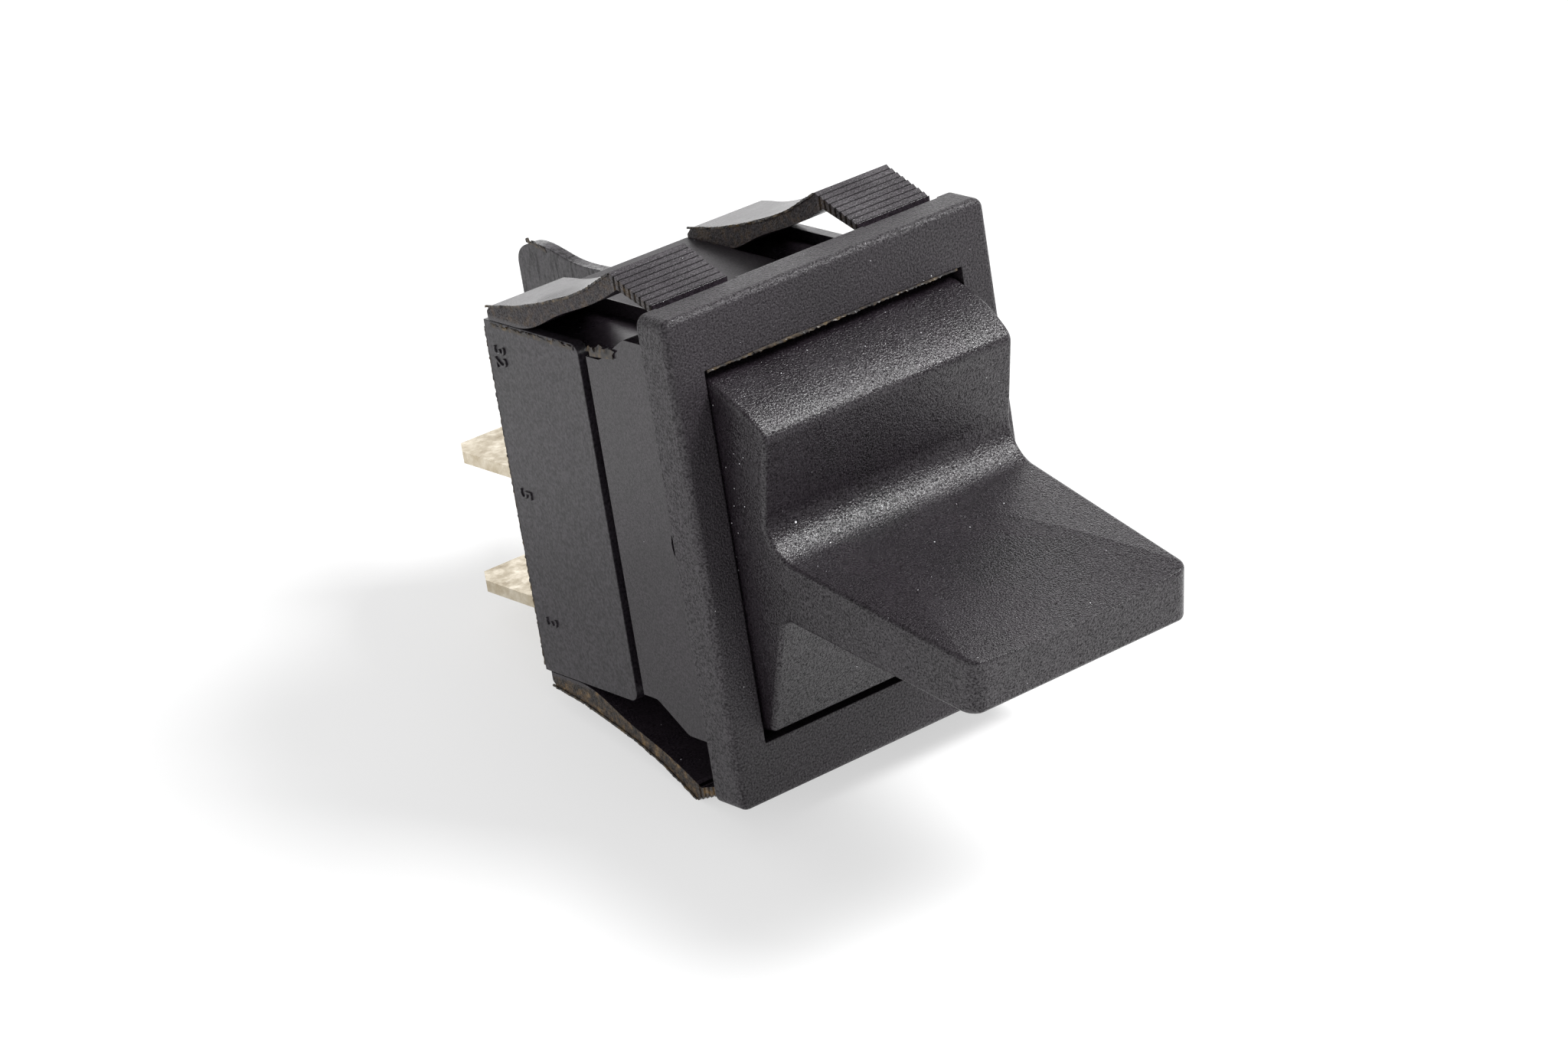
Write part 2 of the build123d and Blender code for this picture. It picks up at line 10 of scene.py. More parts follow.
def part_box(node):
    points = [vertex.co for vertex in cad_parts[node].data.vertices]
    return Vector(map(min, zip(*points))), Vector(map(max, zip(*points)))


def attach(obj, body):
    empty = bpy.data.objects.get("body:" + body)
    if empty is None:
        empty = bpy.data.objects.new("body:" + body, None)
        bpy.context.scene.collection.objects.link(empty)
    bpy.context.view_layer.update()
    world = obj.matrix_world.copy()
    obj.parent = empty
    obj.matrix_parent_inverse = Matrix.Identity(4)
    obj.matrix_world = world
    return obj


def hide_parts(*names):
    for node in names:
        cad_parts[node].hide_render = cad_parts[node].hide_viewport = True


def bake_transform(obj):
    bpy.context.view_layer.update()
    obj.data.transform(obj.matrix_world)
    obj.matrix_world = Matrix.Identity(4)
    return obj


bl_info = {
    "name": "Pulse Switch Looks",
    "version": (1, 0, 0),
    "blender": (4, 5, 0),
    "location": "View3D > Sidebar > Pulse Switch",
    "description": "Finishes, moulding flash, studio and camera for a long-paddle rocker switch",
    "category": "Object",
}

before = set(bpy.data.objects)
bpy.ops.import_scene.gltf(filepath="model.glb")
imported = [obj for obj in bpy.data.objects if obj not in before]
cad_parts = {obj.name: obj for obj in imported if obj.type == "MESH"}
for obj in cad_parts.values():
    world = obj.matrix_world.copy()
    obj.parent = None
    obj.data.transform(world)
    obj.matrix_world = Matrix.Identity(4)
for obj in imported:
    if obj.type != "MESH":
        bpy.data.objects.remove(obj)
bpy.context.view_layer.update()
MM = 0.001
HOUSING_LOW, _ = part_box("bezel_housing")
BASE_LOW, BASE_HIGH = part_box("terminal_base")

# Depths run to the rear from the flange's back, and heights from the middle of the switch.
WING_CREST_DEPTH = 4.4 * MM
RAMP_FOOT_HEIGHT = 15.0 * MM
TOOTH_PITCH = 3.8 * MM / 8
DECK_HALF_WIDTH = 5.0 * MM
BARRIER_DEPTH = 19.0 * MM
STROKE_SLANT = math.radians(-38.0)
SPRING_POST_LENGTH = 1.3 * MM
PLUNGER_TILT = math.radians(11.0)

# The black mouldings' edges are rounded this much, and less behind the flange.
EDGE_ROUNDING = 0.12 * MM
EDGE_ROUNDING_BEHIND = 0.03 * MM
MIDDLE_SHEEN = 0.5
# White specks on the black mouldings: real dust, and painted glints of the grain.
DUST_AND_GLINT_COLOUR = "#E2E2E6"
# Spacing of the specks and width of the largest in millimetres, and the share of cells with one.
DUST_AND_GLINT_LAYERS = ((1.5, 0.15, 0.25), (0.55, 0.08, 0.3))

# The moulding flash, in millimetres.
WINDOW_HALF_HEIGHT = 12.1
NEAR_SIDE = -10.88
FAR_WING_SIDE = 5.12
CHEEK_REAR = 18.95
RAGGED_STEP = 0.14
# How far a web's free edge may wander, as a share of its reach.
RAGGEDNESS = 0.55
# Depth and height of one wing's outer edge, from its root to its crest.
WING_EDGE = (
    (18.4, 12.85),
    (15.2, 13.35),
    (12.6, 14.0),
    (9.9, 14.75),
    (7.4, 15.75),
    (5.8, 16.6),
    (4.5, 17.3),
)

FLOOR_WIDTH = 4.0
SENSOR_WIDTH_MM = 36.0


def linear(hex_colour):
    """An sRGB hex colour as the linear RGBA that shader sockets take."""
    digits = hex_colour.lstrip("#")
    channels = [int(digits[i : i + 2], 16) / 255 for i in (0, 2, 4)]
    levels = [c / 12.92 if c <= 0.04045 else ((c + 0.055) / 1.055) ** 2.4 for c in channels]
    return (*levels, 1.0)


def add_node(tree, kind, inputs=None, stops=None, **settings):
    """Adds one shader node with its settings, its inputs and the stops of its colour ramp.

    An input is a value, a socket, or a node, which stands for the first of its outputs in use.
    """
    node = tree.nodes.new(kind)
    for name, value in settings.items():
        setattr(node, name, value)
    for name, value in (inputs or {}).items():
        if isinstance(value, bpy.types.Node):
            value = next(socket for socket in value.outputs if socket.enabled)
        if isinstance(value, bpy.types.NodeSocket):
            tree.links.new(value, node.inputs[name])
        else:
            node.inputs[name].default_value = value
    if stops:
        while len(node.color_ramp.elements) < len(stops):
            node.color_ramp.elements.new(0.5)
        for element, (place, colour) in zip(node.color_ramp.elements, stops):
            element.position = place
            element.color = colour
    return node


def span(low, high, bottom=0.0, top=1.0):
    """Inputs of a Map Range node that turns low..high into bottom..top and holds both ends."""
    return {"From Min": low, "From Max": high, "To Min": bottom, "To Max": top}


def per_metre(millimetres):
    """The texture scale at which one cell is that many millimetres wide."""
    return 1.0 / (millimetres * MM)


def new_material(name):
    """An empty node material, its tree and the Object coordinates that its patterns read."""
    material = bpy.data.materials.new(name)
    material.use_nodes = True
    tree = material.node_tree
    tree.nodes.clear()
    coordinates = add_node(tree, "ShaderNodeTexCoord").outputs["Object"]
    return material, tree, coordinates


def wing_sides(tree, place):
    """One on the sawn-looking sides of the snap wings, nought elsewhere."""
    normal = add_node(tree, "ShaderNodeNewGeometry").outputs["Normal"]
    facing = add_node(tree, "ShaderNodeSeparateXYZ", {"Vector": normal}).outputs["X"]
    facing = add_node(tree, "ShaderNodeMath", {0: facing}, operation="ABSOLUTE")
    sideways = add_node(tree, "ShaderNodeMapRange", {"Value": facing, **span(0.7, 0.85)})
    depth = place.outputs["Y"]
    height = add_node(tree, "ShaderNodeMath", {0: place.outputs["Z"]}, operation="ABSOLUTE")
    # The housing's side wall stands higher near the flange, so the wings only show above that.
    wall_top = add_node(
        tree,
        "ShaderNodeMapRange",
        {"Value": depth, **span(4.5 * MM, 6.0 * MM, 13.4 * MM, 12.1 * MM)},
    )
    above = add_node(tree, "ShaderNodeMath", {0: height, 1: wall_top}, operation="SUBTRACT")
    outside = add_node(tree, "ShaderNodeMapRange", {"Value": above, **span(0.0, 0.2 * MM)})
    behind = add_node(tree, "ShaderNodeMapRange", {"Value": depth, **span(0.2 * MM, 0.5 * MM)})
    sides = add_node(tree, "ShaderNodeMath", {0: sideways, 1: outside}, operation="MULTIPLY")
    return add_node(tree, "ShaderNodeMath", {0: sides, 1: behind}, operation="MULTIPLY")


def painted_tooth_shade(tree, place):
    """Painted shade on one half of each tooth on the wings' ramps, and painted light on the rest.
    """
    depth = place.outputs["Y"]
    run = add_node(tree, "ShaderNodeMath", {0: WING_CREST_DEPTH, 1: depth}, operation="SUBTRACT")
    teeth = add_node(tree, "ShaderNodeMath", {0: run, 1: TOOTH_PITCH}, operation="DIVIDE")
    phase = add_node(tree, "ShaderNodeMath", {0: teeth}, operation="FRACT")
    lit_and_shaded = add_node(tree, "ShaderNodeMapRange", {"Value": phase, **span(0.5, 0.62, 1.4, 0.12)})
    height = add_node(tree, "ShaderNodeMath", {0: place.outputs["Z"]}, operation="ABSOLUTE")
    outside = add_node(
        tree,
        "ShaderNodeMapRange",
        {"Value": height, **span(RAMP_FOOT_HEIGHT, RAMP_FOOT_HEIGHT + 0.2 * MM)},
    )
    before = add_node(tree, "ShaderNodeMapRange", {"Value": run, **span(-0.05 * MM, 0.05 * MM)})
    behind = add_node(tree, "ShaderNodeMapRange", {"Value": depth, **span(0.2 * MM, 0.4 * MM)})
    ramp = add_node(tree, "ShaderNodeMath", {0: before, 1: outside}, operation="MULTIPLY")
    ramp = add_node(tree, "ShaderNodeMath", {0: ramp, 1: behind}, operation="MULTIPLY")
    rest = add_node(tree, "ShaderNodeMath", {0: 1.0, 1: ramp}, operation="SUBTRACT")
    shade = add_node(tree, "ShaderNodeMath", {0: ramp, 1: lit_and_shaded}, operation="MULTIPLY")
    return add_node(tree, "ShaderNodeMath", {0: rest, 1: shade}, operation="ADD")


def torn_brown(tree, coordinates, colour, where):
    """Brown and black patches, where the gate was torn from the sides of the wings."""
    torn = add_node(
        tree,
        "ShaderNodeTexNoise",
        {"Vector": coordinates, "Scale": per_metre(0.6), "Detail": 4.0, "Roughness": 0.7},
    )
    patches = add_node(
        tree,
        "ShaderNodeValToRGB",
        {"Fac": torn},
        stops=[(0.40, linear("#1A1512")), (0.52, linear("#3E3226")), (0.66, linear("#6E5838"))],
    )
    return add_node(
        tree,
        "ShaderNodeMix",
        {"Factor": where, "A": colour, "B": patches},
        data_type="RGBA",
    )


def dust_and_glints(tree, coordinates, colour, spacing_mm, speck_mm, share):
    """White dust and painted glints: that share of a Voronoi's cells holds a speck, and the rest
    keeps its colour.
    """
    cells = add_node(
        tree,
        "ShaderNodeTexVoronoi",
        {"Vector": coordinates, "Scale": per_metre(spacing_mm), "Randomness": 1.0},
        feature="F1",
    )
    pick = add_node(tree, "ShaderNodeSeparateColor", {"Color": cells.outputs["Color"]})
    radius = add_node(
        tree,
        "ShaderNodeMapRange",
        {"Value": pick.outputs["Red"], **span(1.0 - share, 1.0, 0.0, 0.5 * speck_mm / spacing_mm)},
    )
    distance = cells.outputs["Distance"]
    speck = add_node(tree, "ShaderNodeMath", {0: distance, 1: radius}, operation="LESS_THAN")
    return add_node(
        tree,
        "ShaderNodeMix",
        {"Factor": speck, "A": colour, "B": linear(DUST_AND_GLINT_COLOUR)},
        data_type="RGBA",
    )


def polish_behind(tree, coordinates, place, look):
    """Behind the flange the mould was polished: the grain fades and the gloss rises.

    The wings' sides stay rough and brown, their ramps' teeth get painted shade and light,
    and the decks between the wings are duller.
    """
    depth = place.outputs["Y"]
    sawn = wing_sides(tree, place)
    polished = add_node(tree, "ShaderNodeMapRange", {"Value": depth, **span(-0.1 * MM, 0.4 * MM)})
    polished = add_node(tree, "ShaderNodeMath", {0: polished, 1: sawn}, operation="SUBTRACT")
    look["relief"] = add_node(
        tree,
        "ShaderNodeMapRange",
        {"Value": polished, **span(0.0, 1.0, 1.0, 0.12)},
    )
    calm = add_node(tree, "ShaderNodeMapRange", {"Value": polished, **span(0.0, 1.0, 1.0, 0.3)})
    swing = add_node(
        tree,
        "ShaderNodeMath",
        {0: look["sheen"], 1: MIDDLE_SHEEN},
        operation="SUBTRACT",
    )
    swing = add_node(tree, "ShaderNodeMath", {0: swing, 1: calm}, operation="MULTIPLY")
    sheen = add_node(tree, "ShaderNodeMath", {0: swing, 1: MIDDLE_SHEEN}, operation="ADD")

    across = add_node(tree, "ShaderNodeMath", {0: place.outputs["X"]}, operation="ABSOLUTE")
    between = add_node(
        tree,
        "ShaderNodeMapRange",
        {"Value": across, **span(DECK_HALF_WIDTH - 0.1 * MM, DECK_HALF_WIDTH + 0.1 * MM, 1.0, 0.0)},
    )
    behind = add_node(tree, "ShaderNodeMapRange", {"Value": depth, **span(0.1 * MM, 0.4 * MM)})
    deck = add_node(tree, "ShaderNodeMath", {0: between, 1: behind}, operation="MULTIPLY")
    roughness = look["roughness"]
    for where, change, operation in (
        (polished, 0.18, "SUBTRACT"),
        (sawn, 0.15, "ADD"),
        (deck, 0.25, "ADD"),
    ):
        change = add_node(tree, "ShaderNodeMath", {0: where, 1: change}, operation="MULTIPLY")
        roughness = add_node(
            tree,
            "ShaderNodeMath",
            {0: roughness, 1: change},
            operation=operation,
        )
    look["roughness"] = roughness

    # Painted shade and light on the ramps' teeth, in the sheen and in the colour.
    shade = painted_tooth_shade(tree, place)
    look["sheen"] = add_node(tree, "ShaderNodeMath", {0: sheen, 1: shade}, operation="MULTIPLY")
    shaded = add_node(
        tree,
        "ShaderNodeVectorMath",
        {0: look["colour"], "Scale": shade},
        operation="SCALE",
    )
    # Brown patches where the gate tore, stronger towards the bottom as painted light from the floor
    # on the lower wing.
    brown_and_floor_light = add_node(
        tree,
        "ShaderNodeMapRange",
        {"Value": place.outputs["Z"], **span(-12.0 * MM, 12.0 * MM, 0.95, 0.3)},
    )
    brown_and_floor_light = add_node(tree, "ShaderNodeMath", {0: sawn, 1: brown_and_floor_light}, operation="MULTIPLY")
    look["colour"] = torn_brown(tree, coordinates, shaded, brown_and_floor_light)
    look["rounding"] = add_node(
        tree,
        "ShaderNodeMapRange",
        {"Value": depth, **span(-0.1 * MM, 0.4 * MM, EDGE_ROUNDING, EDGE_ROUNDING_BEHIND)},
    )


def comb_barrier(tree, coordinates, place, look):
    """Slanting strokes on the barrier, pale and rough or dark and smooth by turns."""
    slanted = add_node(
        tree,
        "ShaderNodeMapping",
        {"Vector": coordinates, "Rotation": (STROKE_SLANT, 0.0, 0.0), "Scale": (1.0, 1.0, 0.16)},
    )
    combing = add_node(
        tree,
        "ShaderNodeTexNoise",
        {"Vector": slanted, "Scale": per_metre(0.3), "Detail": 3.0},
    )
    barrier = add_node(
        tree,
        "ShaderNodeMapRange",
        {"Value": place.outputs["Y"], **span(BARRIER_DEPTH, BARRIER_DEPTH + 0.2 * MM)},
    )
    strokes = add_node(tree, "ShaderNodeMath", {0: combing, 1: 0.5}, operation="SUBTRACT")
    strokes = add_node(tree, "ShaderNodeMath", {0: strokes, 1: barrier}, operation="MULTIPLY")
    shade = add_node(
        tree,
        "ShaderNodeMapRange",
        {"Value": strokes, **span(-0.15, 0.15, 0.5, 1.5)},
    )
    look["colour"] = add_node(
        tree,
        "ShaderNodeVectorMath",
        {0: look["colour"], "Scale": shade},
        operation="SCALE",
    )
    rubbed = add_node(tree, "ShaderNodeMath", {0: strokes, 1: 1.2}, operation="MULTIPLY")
    for name, change, operation in (("roughness", rubbed, "ADD"), ("sheen", shade, "MULTIPLY")):
        look[name] = add_node(
            tree,
            "ShaderNodeMath",
            {0: look[name], 1: change},
            operation=operation,
        )


def moulded_black(name, colour, pit_mm, roughness, sparkle, smooth_behind=False, combed=False):
    """Black glass-filled nylon, spark-eroded: a fine sandy grain that breaks up highlights.

    A pit is given as its width and depth. Real ones are 0.03 to 0.08 mm wide, too fine to show
    here, so they are drawn wider. Sparkle is how far the sheen swings between pits. A smooth
    moulding is polished behind the flange, and a combed one has strokes on its barrier.
    """
    pit_width_mm, pit_depth_mm = pit_mm
    material, tree, coordinates = new_material(name)
    place = add_node(tree, "ShaderNodeSeparateXYZ", {"Vector": coordinates})
    cloudy = add_node(
        tree,
        "ShaderNodeTexNoise",
        {"Vector": coordinates, "Scale": per_metre(5.0), "Detail": 3.0, "Roughness": 0.55},
    )
    red, green, blue, _ = linear(colour)
    tone = add_node(
        tree,
        "ShaderNodeValToRGB",
        {"Fac": cloudy},
        stops=[
            (0.30, (0.80 * red, 0.80 * green, 0.80 * blue, 1.0)),
            (0.70, (1.22 * red, 1.22 * green, 1.22 * blue, 1.0)),
        ],
    )
    grain = add_node(
        tree,
        "ShaderNodeTexNoise",
        {"Vector": coordinates, "Scale": per_metre(pit_width_mm), "Detail": 2.0, "Roughness": 0.6},
    )
    sandy = add_node(tree, "ShaderNodeMapRange", {"Value": grain, **span(0.3, 0.7, 0.4, 1.7)})
    dusted_and_glinting = add_node(tree, "ShaderNodeVectorMath", {0: tone, "Scale": sandy}, operation="SCALE")
    # Specks of real dust and painted glints.
    for spacing_mm, speck_mm, share in DUST_AND_GLINT_LAYERS:
        dusted_and_glinting = dust_and_glints(tree, coordinates, dusted_and_glinting, spacing_mm, speck_mm, share)
    sheen = add_node(
        tree,
        "ShaderNodeMapRange",
        {"Value": grain, **span(0.35, 0.65, MIDDLE_SHEEN - sparkle, MIDDLE_SHEEN + sparkle)},
    )
    uneven = add_node(
        tree,
        "ShaderNodeMapRange",
        {"Value": cloudy, **span(0.3, 0.7, roughness - 0.04, roughness + 0.05)},
    )
    look = {
        "colour": dusted_and_glinting,
        "roughness": uneven,
        "sheen": sheen,
        "relief": 1.0,
        "rounding": EDGE_ROUNDING,
    }
    if smooth_behind:
        polish_behind(tree, coordinates, place, look)
    if combed:
        comb_barrier(tree, coordinates, place, look)
    rounded = add_node(tree, "ShaderNodeBevel", {"Radius": look["rounding"]}, samples=4)
    bump = add_node(
        tree,
        "ShaderNodeBump",
        {
            "Strength": look["relief"],
            "Distance": pit_depth_mm * MM,
            "Height": grain,
            "Normal": rounded,
        },
    )
    shader = add_node(
        tree,
        "ShaderNodeBsdfPrincipled",
        {
            "Base Color": look["colour"],
            "Roughness": look["roughness"],
            "IOR": 1.5,
            "Specular IOR Level": look["sheen"],
            "Normal": bump,
        },
    )
    add_node(tree, "ShaderNodeOutputMaterial", {"Surface": shader})
    return material


def marked_metal(tree, colour, metallic, roughness, marks, strength, depth_mm):
    """Ends a metal's finish, in which the marks of rolling or drawing are that deep."""
    bump = add_node(
        tree,
        "ShaderNodeBump",
        {"Strength": strength, "Distance": depth_mm * MM, "Height": marks},
    )
    shader = add_node(
        tree,
        "ShaderNodeBsdfPrincipled",
        {"Base Color": colour, "Metallic": metallic, "Roughness": roughness, "Normal": bump},
    )
    add_node(tree, "ShaderNodeOutputMaterial", {"Surface": shader})


def tinned_brass(name, colour):
    """Dull electro-tinned brass strip: rolled lines along the blade and warm handling stains.

    Real lines are too fine to show here, so they are drawn 0.18 mm apart.
    """
    material, tree, coordinates = new_material(name)
    stretched = add_node(
        tree,
        "ShaderNodeMapping",
        {"Vector": coordinates, "Scale": (1.0, 0.06, 1.0)},
    )
    lines = add_node(
        tree,
        "ShaderNodeTexNoise",
        {"Vector": stretched, "Scale": per_metre(0.18), "Detail": 3.0},
    )
    stain = add_node(
        tree,
        "ShaderNodeTexNoise",
        {"Vector": coordinates, "Scale": per_metre(1.2), "Detail": 5.0, "Roughness": 0.7},
    )
    tone = add_node(
        tree,
        "ShaderNodeValToRGB",
        {"Fac": stain},
        stops=[(0.25, linear("#B5A58A")), (0.45, linear(colour)), (0.75, linear("#E4DCCC"))],
    )
    rub = add_node(tree, "ShaderNodeMapRange", {"Value": stain, **span(0.3, 0.7, 0.52, 0.3)})
    marked_metal(tree, tone, 0.85, rub, lines, 0.5, 0.01)
    return material


def plain_metal(name, colour, roughness, mark_mm):
    """Bright wire, strip or rivet: an even metal with faint working marks of that width."""
    material, tree, coordinates = new_material(name)
    marks = add_node(
        tree,
        "ShaderNodeTexNoise",
        {"Vector": coordinates, "Scale": per_metre(mark_mm), "Detail": 2.0},
    )
    rub = add_node(
        tree,
        "ShaderNodeMapRange",
        {"Value": marks, **span(0.3, 0.7, roughness - 0.06, roughness + 0.08)},
    )
    marked_metal(tree, linear(colour), 1.0, rub, marks, 0.4, 0.006)
    return material


def natural_nylon(name, colour):
    """Unfilled nylon: milky, slightly see-through, with a soft gloss."""
    material, tree, coordinates = new_material(name)
    cloudy = add_node(
        tree,
        "ShaderNodeTexNoise",
        {"Vector": coordinates, "Scale": per_metre(1.5), "Detail": 2.0},
    )
    tone = add_node(
        tree,
        "ShaderNodeValToRGB",
        {"Fac": cloudy},
        stops=[(0.3, linear("#D8D2C0")), (0.7, linear(colour))],
    )
    shader = add_node(
        tree,
        "ShaderNodeBsdfPrincipled",
        {
            "Base Color": tone,
            "Roughness": 0.38,
            "IOR": 1.53,
            "Subsurface Weight": 0.2,
            "Subsurface Scale": 0.5 * MM,
        },
    )
    add_node(tree, "ShaderNodeOutputMaterial", {"Surface": shader})
    return material


def torn_nylon(name, colour):
    """Moulding flash: a web of nylon so thin that it turns brown and pale where it tore."""
    material, tree, coordinates = new_material(name)
    torn = add_node(
        tree,
        "ShaderNodeTexNoise",
        {"Vector": coordinates, "Scale": per_metre(0.5), "Detail": 3.0},
    )
    tone = add_node(
        tree,
        "ShaderNodeValToRGB",
        {"Fac": torn},
        stops=[(0.42, linear("#1E1A1A")), (0.56, linear(colour)), (0.74, linear("#645334"))],
    )
    shader = add_node(
        tree,
        "ShaderNodeBsdfPrincipled",
        {"Base Color": tone, "Roughness": 0.45, "IOR": 1.5},
    )
    add_node(tree, "ShaderNodeOutputMaterial", {"Surface": shader})
    return material


def dress(node, material):
    """Gives a CAD node its finish through its own material slots."""
    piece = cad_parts[node]
    piece.data.materials.clear()
    piece.data.materials.append(material)


def tie(piece, name, body, material):
    """Names a finished piece, gives it its finish, and ties it to a body and a material slot."""
    piece.name = name
    piece.data.materials.clear()
    piece.data.materials.append(material)
    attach(piece, body)


def ragged_strip(start, end, out, reach, thickness, seed):
    """A thin torn web between two points, in millimetres, that stands out along one direction.

    Its far edge is moved at random, so that it is ragged.
    """
    along = Vector(end) - Vector(start)
    steps = max(6, round(along.length / RAGGED_STEP))
    bpy.ops.object.select_all(action="DESELECT")
    bpy.ops.mesh.primitive_grid_add(
        x_subdivisions=steps,
        y_subdivisions=2,
        size=1.0,
        location=(0, 0, 0),
    )
    piece = bpy.context.object
    size = Matrix.Diagonal((along.length * MM, reach * MM, 1.0, 1.0))
    piece.data.transform(size @ Matrix.Translation((0.5, 0.5, 0.0)))
    bpy.ops.object.mode_set(mode="EDIT")
    bpy.ops.mesh.select_mode(type="VERT")
    bpy.ops.mesh.select_all(action="DESELECT")
    bpy.ops.object.mode_set(mode="OBJECT")
    for vertex in piece.data.vertices:
        vertex.select = vertex.co.y > 0.9 * reach * MM
    bpy.ops.object.mode_set(mode="EDIT")
    wander = RAGGEDNESS * reach * MM
    bpy.ops.transform.vertex_random(offset=wander, uniform=0.0, normal=0.0, seed=seed)
    bpy.ops.object.mode_set(mode="OBJECT")
    shell = piece.modifiers.new("shell", "SOLIDIFY")
    shell.thickness = thickness * MM
    shell.offset = 0.0
    bpy.ops.object.modifier_apply(modifier=shell.name)
    first = along.normalized()
    second = Vector(out).normalized()
    third = first.cross(second)
    turn = Matrix((first, second, third)).transposed().to_4x4()
    piece.data.transform(Matrix.Translation(Vector(start) * MM) @ turn)
    return piece


def raised_number(text, rear, top, size):
    """A number moulded proud of the left cheek, reading downwards, its place in millimetres."""
    half_depth = 0.06 * MM
    stand_off = 0.04 * MM
    bpy.ops.object.select_all(action="DESELECT")
    bpy.ops.object.text_add(location=(0, 0, 0))
    piece = bpy.context.object
    piece.data.body = text
    piece.data.size = size * MM
    piece.data.resolution_u = 4
    piece.data.extrude = half_depth
    bpy.ops.object.convert(target="MESH")
    turn = Matrix(((0, 0, -1), (0, -1, 0), (-1, 0, 0))).to_4x4()
    place = Vector((BASE_LOW.x - stand_off, rear * MM, top * MM))
    piece.data.transform(Matrix.Translation(place) @ turn)
    return piece


class PulseSwitchColours(bpy.types.PropertyGroup):
    """Colours of the finishes, as sRGB hex."""

    housing: StringProperty(name="Housing", description="Bezel, body and wings", default="#221D22")
    rocker: StringProperty(name="Rocker", description="Rocker and paddle", default="#1D181D")
    base: StringProperty(name="Base", description="Terminal base and barrier", default="#221E23")
    tin: StringProperty(name="Tin", description="Tinned terminal blades", default="#C6BAA3")
    silver: StringProperty(name="Silver", description="Contact rivets", default="#DAD8D2")
    brass: StringProperty(name="Brass", description="Lever strip", default="#C9A25E")
    steel: StringProperty(name="Steel", description="Spring wire", default="#9C9DA0")
    nylon: StringProperty(name="Nylon", description="Plungers", default="#ECE7D8")
    flash: StringProperty(name="Flash", description="Torn moulding flash", default="#382D20")


class PulseSwitchStudio(bpy.types.PropertyGroup):
    """Camera, and how the switch rests on the floor."""

    view_azimuth: FloatProperty(
        name="View azimuth",
        description="Camera's heading from +Y towards +X",
        default=math.radians(35.52),
        subtype="ANGLE",
    )
    view_elevation: FloatProperty(
        name="View elevation",
        description="How far the camera looks down on the switch's own level",
        default=math.radians(20.785),
        subtype="ANGLE",
    )
    view_roll: FloatProperty(
        name="View roll",
        description="Turn of the camera about its line of sight",
        default=math.radians(9.146),
        subtype="ANGLE",
    )
    distance: FloatProperty(
        name="Distance",
        description="Camera to aim point",
        default=327.0 * MM,
        unit="LENGTH",
    )
    aim: FloatVectorProperty(
        name="Aim point",
        description="Where the middle of the picture lies",
        default=(-4.45 * MM, -0.26 * MM, -0.10 * MM),
        subtype="TRANSLATION",
    )
    lens: FloatProperty(name="Lens", description="Focal length", default=123.5, unit="CAMERA")
    wing_crest_depth: FloatProperty(
        name="Wing crest",
        description="Depth of the wings' crests, which the switch rests on",
        default=WING_CREST_DEPTH,
        unit="LENGTH",
    )
    barrier_corner: FloatProperty(
        name="Barrier corner",
        description="Radius of the barrier's rear corner, which the switch rests on",
        default=1.2 * MM,
        unit="LENGTH",
    )


def resting_tilt(settings):
    """The normal of the floor in the switch's frame, and the floor's distance below the origin."""
    corner = settings.barrier_corner
    run = BASE_HIGH.y - corner - settings.wing_crest_depth
    rise = BASE_LOW.z + corner - HOUSING_LOW.z
    tilt = math.atan2(rise, run) - math.asin(corner / math.hypot(run, rise))
    normal = Vector((0.0, -math.sin(tilt), math.cos(tilt)))
    crest = Vector((0.0, settings.wing_crest_depth, HOUSING_LOW.z))
    return normal, -normal.dot(crest)


class PULSESWITCH_OT_finishes(bpy.types.Operator):
    """Gives every piece of the switch its finish"""

    bl_idname = "pulse_switch.finishes"
    bl_label = "Finishes"

    def execute(self, context):
        colours = context.scene.pulse_switch_colours
        housing = moulded_black(
            "Spark-eroded nylon, housing",
            colours.housing,
            pit_mm=(0.13, 0.08),
            roughness=0.44,
            sparkle=0.3,
            smooth_behind=True,
        )
        rocker = moulded_black(
            "Spark-eroded nylon, rocker",
            colours.rocker,
            pit_mm=(0.12, 0.062),
            roughness=0.26,
            sparkle=0.36,
        )
        base = moulded_black(
            "Satin nylon, base",
            colours.base,
            pit_mm=(0.2, 0.016),
            roughness=0.34,
            sparkle=0.1,
            combed=True,
        )
        tin = tinned_brass("Tinned brass strip", colours.tin)
        silver = plain_metal("Silver rivet", colours.silver, roughness=0.25, mark_mm=0.3)
        brass = plain_metal("Spring brass strip", colours.brass, roughness=0.28, mark_mm=0.25)
        steel = plain_metal("Drawn spring wire", colours.steel, roughness=0.25, mark_mm=0.2)
        nylon = natural_nylon("Natural nylon", colours.nylon)
        dress("bezel_housing", housing)
        dress("terminal_base", base)
        dress("paddle_rocker", rocker)
        dress("return_spring", steel)
        for side in ("left", "right"):
            dress(f"{side}_plunger", nylon)
            dress(f"{side}_plunger_spring", steel)
            dress(f"{side}_contact_lever", brass)
            dress(f"{side}_lever_contact", silver)
            dress(f"{side}_fixed_contact", silver)
            dress(f"{side}_common_terminal", tin)
            dress(f"{side}_switched_terminal", tin)
        return {"FINISHED"}


